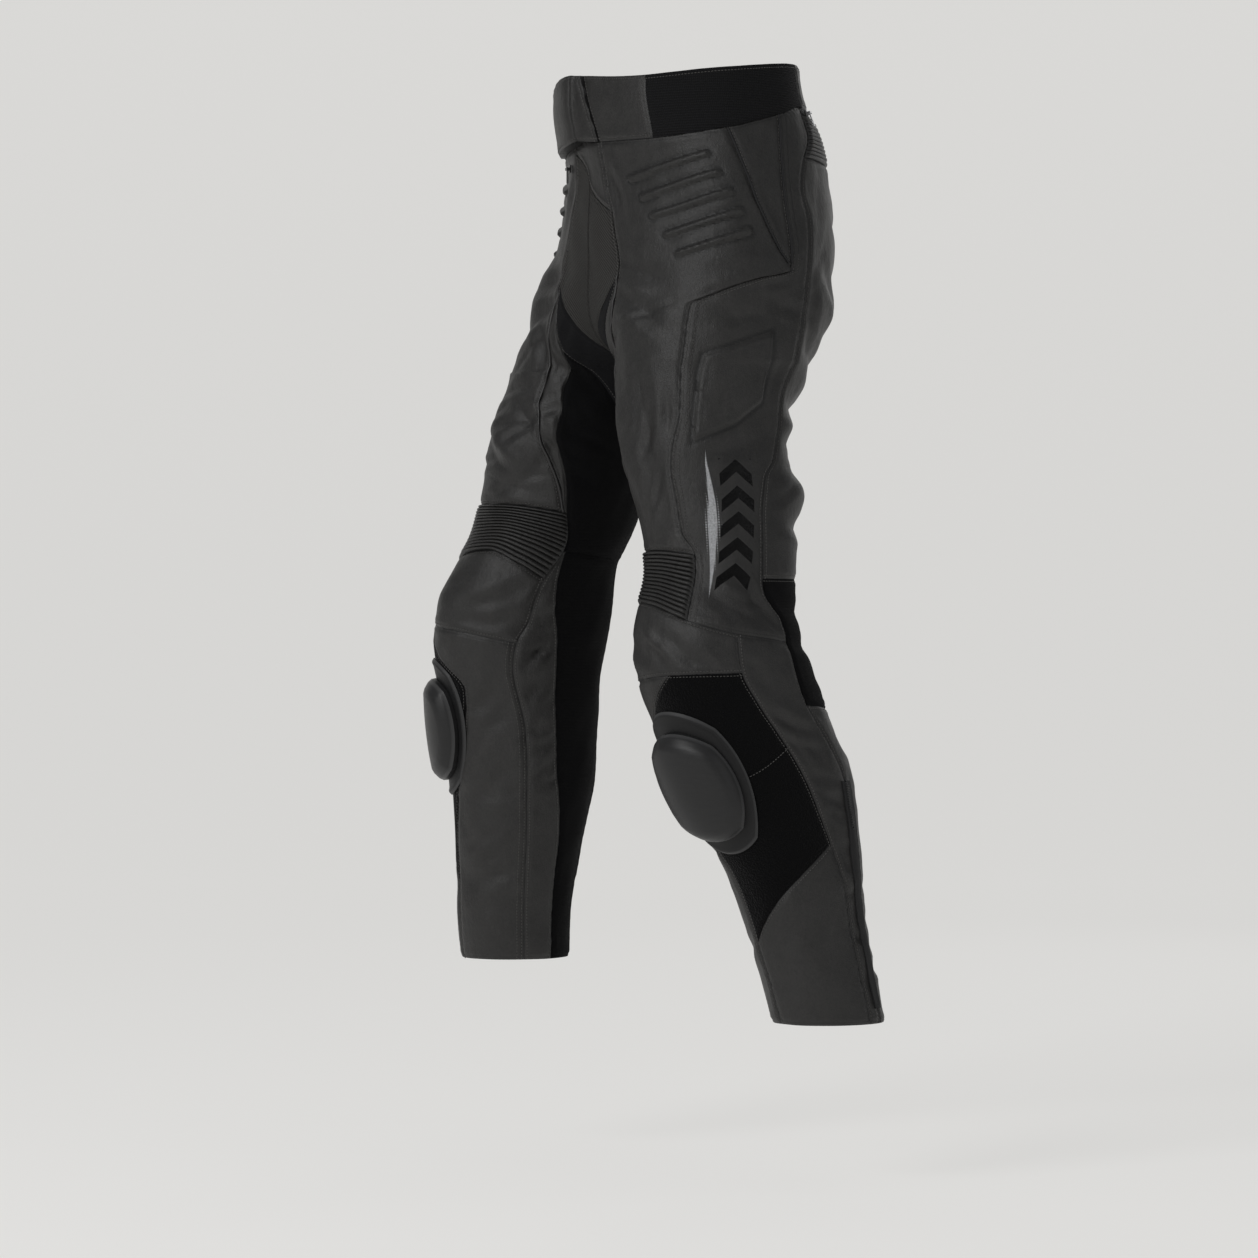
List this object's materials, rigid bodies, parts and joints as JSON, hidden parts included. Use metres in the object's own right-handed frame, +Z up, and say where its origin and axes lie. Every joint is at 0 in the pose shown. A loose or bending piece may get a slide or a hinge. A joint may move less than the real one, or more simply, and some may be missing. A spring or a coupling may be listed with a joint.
{
  "type": "motorcycle trousers",
  "caption": "Leather and stretch motorcycle trousers in a standing pose, hollow, with armour bars, pleated knees, knee sliders, elastic waistband and connection zip.",
  "frame": {"origin": "centre of the waist opening, half way up the waistband, where the wearer's waist holds the trousers up", "axes": "+Z up along the standing wearer, +X to the wearer's left, -Y to the front"},
  "size_m": [0.4865, 0.3609, 0.9799],
  "materials": {
    "leather": "matt charcoal cowhide with fine grain",
    "stretch": "black woven stretch cloth",
    "weave": "charcoal diagonal weave",
    "elastic": "black ribbed elastic",
    "loop": "black hook-and-loop pile",
    "plastic": "dark satin moulded polyurethane",
    "base": "matt black backing plate",
    "tape": "black zip tape with moulded teeth",
    "metal": "nickel-plated zip slider"
  },
  "bodies": {
    "trousers": {"calf_back_left": "leather", "calf_back_right": "leather", "calf_inner_left": "leather", "calf_inner_right": "leather", "calf_outer_left": "leather", "calf_outer_right": "leather", "calf_stretch_left": "stretch", "calf_stretch_right": "stretch", "calf_zip_left": "tape", "calf_zip_right": "tape", "connection_zip_slider": "metal", "connection_zip_tape": "tape", "fly_leather": "leather", "fly_panel_left": "weave", "fly_panel_right": "weave", "fly_zip_slider": "metal", "gusset_left": "leather", "gusset_right": "leather", "hip_left": "leather", "hip_right": "leather", "inner_stretch_left": "stretch", "inner_stretch_right": "stretch", "inner_strip_left": "leather", "inner_strip_right": "leather", "knee_back_left": "stretch", "knee_back_right": "stretch", "knee_left": "leather", "knee_pleats_left": "leather", "knee_pleats_right": "leather", "knee_right": "leather", "loop_lower_left": "loop", "loop_lower_right": "loop", "loop_upper_left": "loop", "loop_upper_right": "loop", "pocket_left": "leather", "pocket_right": "leather", "seat_left": "leather", "seat_right": "leather", "seat_yoke": "leather", "shin_inner_left": "leather", "shin_inner_right": "leather", "shin_left": "leather", "shin_right": "leather", "side_left": "leather", "side_right": "leather", "slider_base_left": "base", "slider_base_right": "base", "slider_left": "plastic", "slider_right": "plastic", "waistband_back": "leather", "waistband_elastic_left": "elastic", "waistband_elastic_right": "elastic", "waistband_left_front": "leather", "waistband_right_front": "leather"},
    "fly_zip_pull": {"fly_zip_pull": "metal"},
    "connection_zip_pull": {"connection_zip_pull": "metal"}
  },
  "joints": [
    {"name": "fly_zip_pull_hinge", "type": "hinge", "parent": "trousers", "child": "fly_zip_pull", "pos_m": [-0.05312, -0.10227, -0.06604], "axis": [-0.9823, 0.1874, 0], "range_deg": [-5, 150]},
    {"name": "connection_zip_pull_hinge", "type": "hinge", "parent": "trousers", "child": "connection_zip_pull", "pos_m": [0.12345, 0.08984, -0.0169], "axis": [0.7676, -0.641, 0], "range_deg": [0, 150]}
  ]
}
